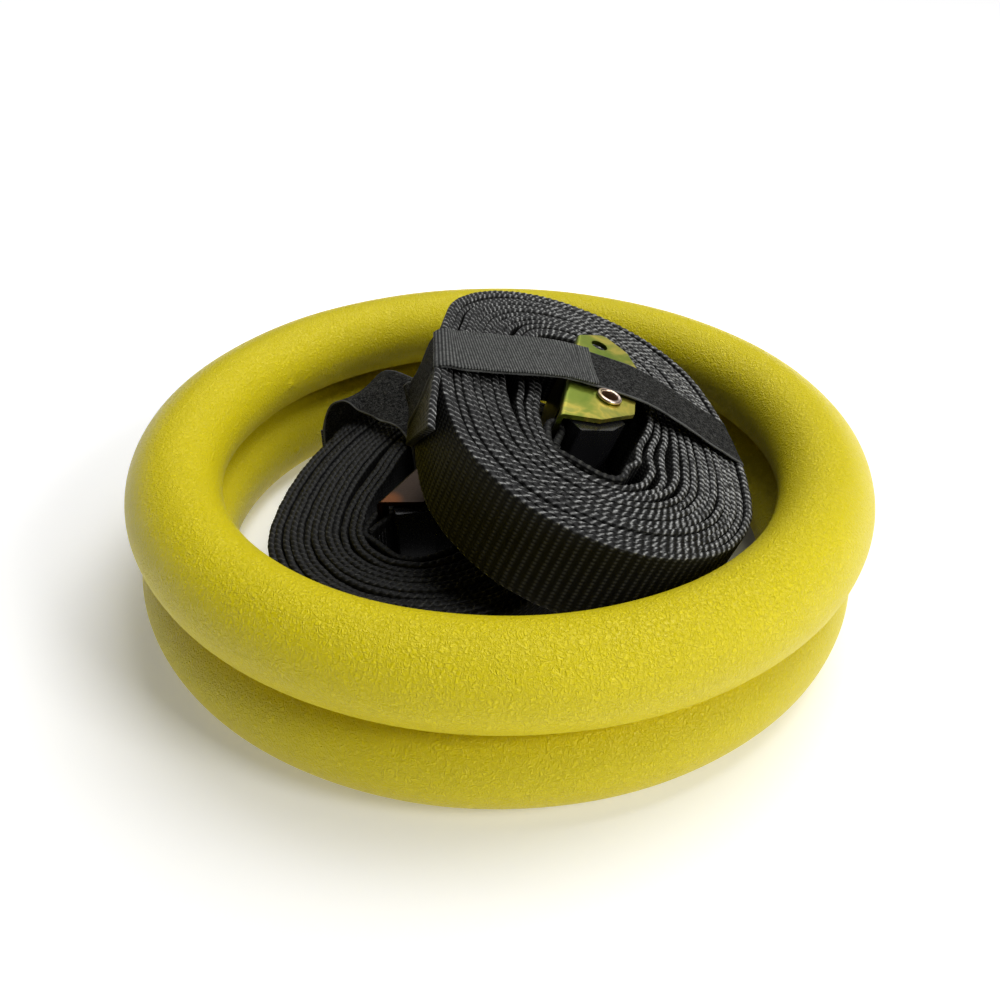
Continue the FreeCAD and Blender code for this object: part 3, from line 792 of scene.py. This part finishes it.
def woven(dist, across, rise):
    """Ribs across the faces and a slanting row of beads along both edges."""
    turn = 2 * math.pi * dist[:, None] / REPEAT
    flat = np.abs(across) < FACE_REACH
    saw = np.cos(2 * turn) + 0.3 * np.sin(4 * turn)
    bead = (0.5 + 0.5 * np.cos(turn * 2 + 1.5 * rise)) ** 1.4
    cap = np.clip(1.15 - np.abs(rise) / 1.3, 0.2, 1.0)
    across = across + np.where(flat, 0.0, np.sign(across) * (0.42 * bead - 0.20) * cap)
    rise = rise + np.where(flat, 0.13 * saw, 0.06 * saw) + 0.07 * np.cos(turn * 0.5)
    return across, rise


def make_strap(side):
    line, dist, loop_length = strap_path(side)
    up = np.tile([0.0, 0.0, 1.0], (len(line), 1))
    up[:, 0] += 0.02 * np.sin(dist / 210.0)
    slant = END_SLANT[side]

    def shape(dist, across, rise):
        """Weaves the strap, and narrows it where it passes the buckle."""
        across, rise = woven(dist, across, rise)
        width = 0.887 + 0.113 * smooth(loop_length - 6, loop_length + 50, dist)[:, None]
        return across * width, rise

    def trim(along, across):
        """Cuts the free end on a slant."""
        back = (14.0 - across) * slant / 28.0
        return along - back * np.clip((along - (dist[-1] - slant - 8.0)) / (slant + 8.0), 0, 1)

    section = rounded_section(1.09, roundness=0.55)
    obj = sweep_tape("webbing_" + side, line, up, WEBBING_HALF, section, "webbing_" + side,
                     place=on_roll(side), dist=dist, shape=shape, trim=trim)
    stand_in(obj, "strap_" + side, "strap_" + side)


def make_strap_stitch(side):
    """A bar tack of four zigzag rows through the sewn end."""
    row_gap, zigzag, lowest, rise = 2.0, 0.55, -9.5, 0.95
    angle = math.radians(-97)
    along = np.array([math.cos(angle), math.sin(angle), 0.0])
    start = np.append(buckle_to_roll([(-10.35, -23.4)])[0], LEAD_HEIGHT)
    tubes = []
    for row in range(4):
        pts = []
        for k in range(21):
            reach = row * row_gap + (zigzag if k % 2 else 0.0)
            pts.append(start + along * reach + np.array([0, 0, lowest + k * rise]))
        tubes.append(tube(resample(np.array(pts), 0.3)[0], 0.2, "thread", 6, on_roll(side)))
    obj = join("bar_tack_thread_" + side, tubes, "thread")
    stand_in(obj, "strap_stitch_" + side, "strap_" + side)


for side in SIDES:
    make_strap(side)
for side in SIDES:
    make_strap_stitch(side)

# ---------------------------------------------------------------- buckles

def keep(node, material, bevel):
    """Keeps a CAD part, with a material and softened edges."""
    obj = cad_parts[node]
    obj.data.materials.clear()
    obj.data.materials.append(MATERIALS[material])
    mod = obj.modifiers.new("edges", "BEVEL")
    mod.width = bevel * MM
    mod.segments = 2
    mod.limit_method = "ANGLE"
    mod.angle_limit = math.radians(32)
    mod.harden_normals = False


def make_pivot(side):
    """A tubular rivet whose ends are rolled outwards into a round rim."""
    bore, barrel, cols = 2.71, 2.98, 72
    rim_radius, rim_height = 3.45, 16.74
    upper = [(bore, 14.0)]
    for t in np.radians(np.linspace(200, -90, 15)):
        upper.append((rim_radius + 0.74 * math.cos(t), rim_height + 0.62 * math.sin(t)))
    lower = [(r, -z) for r, z in reversed(upper)]
    profile = upper + [(barrel, 15.9), (barrel, -15.9)] + lower
    angles = np.linspace(0, 2 * math.pi, cols, endpoint=False)
    verts = np.array([[r * math.cos(t), r * math.sin(t), z] for r, z in profile for t in angles])
    faces = grid_faces(len(profile), cols, True, True)
    obj = new_object("rivet_" + side, on_buckle(side)(verts) * MM, faces, "rivet_steel")
    fix_normals(obj)
    stand_in(obj, "pivot_" + side, "strap_" + side)


def make_spring(side):
    """A torsion spring round the pivot, with a leg at each end."""
    turns, radius, foot, wire = 4.25, 4.15, 9.0, 0.43
    t = np.linspace(0, turns * 2 * math.pi, int(turns * 40))
    coil = np.stack([radius * np.cos(t), radius * np.sin(t), foot + t / (2 * math.pi)], 1)
    first_leg = np.stack([np.full(8, radius), np.linspace(-5.1, -0.4, 8), np.full(8, foot)], 1)
    last_leg = coil[-1] + np.outer(np.linspace(0.4, 11.2, 14), [-1.0, 0.0, 0.0])
    path = resample(np.vstack([first_leg, coil, last_leg]), 0.35)[0]
    obj = tube(path, wire, "spring_steel", 10, on_buckle(side), "spring_wire_" + side)
    stand_in(obj, "spring_" + side, "lever_" + side)


# the left frame and both cams get copper_plate, whose colour holds painted shade
FRAME_LOOKS = {"left": "copper_plate", "right": "zinc_plate"}
for side in SIDES:
    keep("buckle_frame_" + side, FRAME_LOOKS[side], bevel=0.5)
    keep("cam_" + side, "copper_plate", bevel=0.12)
    keep("lever_cover_" + side, "lever_plastic", bevel=0.35)
    make_pivot(side)
    make_spring(side)

# ---------------------------------------------------------------- ties

TIE_STEP = 0.8
# Half the width of each tape's mesh, and how far the hook tape lies outside the loop tape.
LOOP_HALF, HOOK_HALF = 11.4, 11.6
HOOK_LIFT = 0.85
# Vertices further out than this are on a tape's selvedge.
SELVEDGE = 11
# Each tie's closed way round its roll: place across the roll, height above its foot, and sideways shift.
TIES = {
    "right": [
        (0, -0.7, 12), (28, -0.7, 12), (50, -0.7, 8), (53.2, 2.5, 6.5), (53.8, 12, 3.5), (53.6, 22, 1.6),
        (52.4, 27.2, 1.6), (48.5, 28.7, 1.6), (40, 29.9, 5.2), (28, 32.0, 9.0), (17, 33.7, 10.8),
        (5, 34.1, 11.3), (-8, 34.1, 11.0), (-18, 33.2, 9.8), (-32, 30.8, 7.6), (-44, 29.0, 5.7),
        (-50.2, 28.0, 5.3), (-52.3, 24, 5.4), (-52.6, 14, 6.5), (-52.6, 3, 9), (-48.5, -0.7, 11),
        (-26, -0.7, 12),
    ],
    "left": [
        (-30, -0.2, -4), (-20, -0.2, -1), (-14.2, 0.1, 0), (-12.6, 2.5, 0), (-12.4, 14, 0), (-12.8, 25, 0),
        (-14.5, 29.6, 0), (-20, 33.0, 0), (-29, 35.6, -0.5), (-39, 37.0, -2.0), (-47, 36.2, -4.0),
        (-52.0, 32, -7.0), (-53.9, 24, -9.5), (-53.8, 14, -10.0), (-52.6, 3.4, -10.0), (-49, 0.1, -10.0),
        (-40, -0.2, -7.5),
    ],
}


def tape_place(side):
    """A function that takes points of a tie to the scene. The left tie is near its roll's far end,
    at 30 degrees."""
    put = on_roll(side)
    if side == "right":
        return put
    turn = rot("Z", -30.0)
    return lambda p: put(p @ turn.T + np.array([-1.2, 24.4, 0.0]))


def tie_line(side, lift):
    """Closed centre line of the tie, moved outwards by lift, and its distances."""
    line, dist = resample(catmull(TIES[side], 20, closed=True), TIE_STEP, closed=True)
    t = unit(np.roll(line[:, :2], -1, 0) - np.roll(line[:, :2], 1, 0))
    across = line[:, 0] + t[:, 1] * lift
    height = line[:, 1] - t[:, 0] * lift
    return np.column_stack([across, line[:, 2], height]), dist


def lay_of(line, side):
    """Direction across the tie; the left one's arch is tipped towards the front."""
    tip = np.zeros(len(line))
    if side == "left":
        tip = -np.radians(22) * smooth(-20, -34, line[:, 0]) * smooth(12, 27, line[:, 2])
        tip = tip * (1 - 0.6 * smooth(-42, -52, line[:, 0]))
    return np.column_stack([np.zeros(len(line)), np.cos(tip), -np.sin(tip)])


def soft_loop(d, a, r):
    """Makes the loop tape's selvedges wander and its face a little uneven."""
    wander = 0.12 * np.sin(d / 3.1)[:, None] + 0.08 * np.sin(d / 1.3 + 1)[:, None]
    uneven = 0.06 * np.sin(d / 4.7)[:, None] * np.cos(a / 5)
    return a + np.sign(a) * wander * (np.abs(a) > SELVEDGE), r + uneven


def cut_hook(d, a, r):
    """Makes the hook tape's selvedges wander and curls its first end."""
    near_end = np.exp(-(d / 1.2) ** 2)[:, None]
    wander = 0.10 * np.sin(d / 2.3)[:, None]
    return a + wander * np.sign(a) * (np.abs(a) > SELVEDGE), r + 0.25 * near_end * np.cos(a / 12 * 3.0)


def make_loop(side):
    line, dist = tie_line(side, 0.0)
    section = rounded_section(0.38, flats=8, arc=3)
    loop = sweep_tape("loop_tape_" + side, line, lay_of(line, side), LOOP_HALF, section, "loop_tape",
                      place=tape_place(side), dist=dist, shape=soft_loop, closed=True)
    stand_in(loop, "tie_loop_" + side, "strap_" + side)


def make_hook(side):
    """The hook tape on the part of the tie's way that it covers; returns its centre line."""
    line = tie_line(side, HOOK_LIFT)[0]
    across, height = line[:, 0], line[:, 2]
    if side == "right":
        covered = (across < -0.9) & (height > 26.5)
    else:
        covered = (across < -50) & (height > 4) & (height < 22)
    line = line[covered]
    dist = np.arange(len(line)) * TIE_STEP
    section = rounded_section(0.4, flats=8, arc=3)
    hook = sweep_tape("hook_tape_" + side, line, lay_of(line, side), HOOK_HALF, section, "hook_tape",
                      place=tape_place(side), dist=dist, shape=cut_hook)
    stand_in(hook, "tie_hook_" + side, "strap_" + side)
    return line


def make_tie_stitch(side, line):
    """Three fine rows of thread across the tape, next to the hook tape's end."""
    tubes = []
    for x, y, z in line[[3, 6, 9]]:
        pts = [[x, y - 10.0 + j, z + 0.42 + (0.10 if j % 2 else 0.0)] for j in range(21)]
        tubes.append(tube(resample(np.array(pts), 0.35)[0], 0.11, "thread", 6, tape_place(side)))
    seam = join("tie_thread_" + side, tubes, "thread")
    stand_in(seam, "tie_stitch_" + side, "strap_" + side)


for side in SIDES:
    make_loop(side)
    make_tie_stitch(side, make_hook(side))

# ---------------------------------------------------------------- floor and light

FLOOR_HALF = 3.0
FLOOR_LEVEL = -0.0004
MIDDLE = Vector((0, 0, 0.03))
# Name, place, size and power of each soft light; all of them face the middle of the object.
LIGHTS = (
    ("overhead", (0.30, 0.18, 1.05), (0.7, 0.7), 8.1),
    ("front_right", (0.80, -0.55, 0.70), (0.35, 0.35), 6.1),
    ("back", (0.1, 1.0, 0.75), (1.2, 0.5), 3.0),
)
WORLD_LIGHT = 0.05


def make_floor():
    signs = ((-1, -1), (1, -1), (1, 1), (-1, 1))
    corners = [(x * FLOOR_HALF, y * FLOOR_HALF, FLOOR_LEVEL) for x, y in signs]
    new_object("floor", corners, [(0, 1, 2, 3)], "floor")


def softbox(name, at, size, power):
    data = bpy.data.lights.new(name, "AREA")
    data.shape = "RECTANGLE"
    data.size, data.size_y = size
    data.energy = power
    obj = bpy.data.objects.new(name, data)
    bpy.context.scene.collection.objects.link(obj)
    obj.location = at
    obj.rotation_euler = (MIDDLE - Vector(at)).to_track_quat("-Z", "Y").to_euler()


make_floor()
for light in LIGHTS:
    softbox(*light)
world = bpy.data.worlds.new("studio")
world.use_nodes = True
background = world.node_tree.nodes["Background"]
background.inputs["Color"].default_value = rgba(WHITE)
background.inputs["Strength"].default_value = WORLD_LIGHT
bpy.context.scene.world = world
bpy.context.scene.view_settings.view_transform = "Standard"
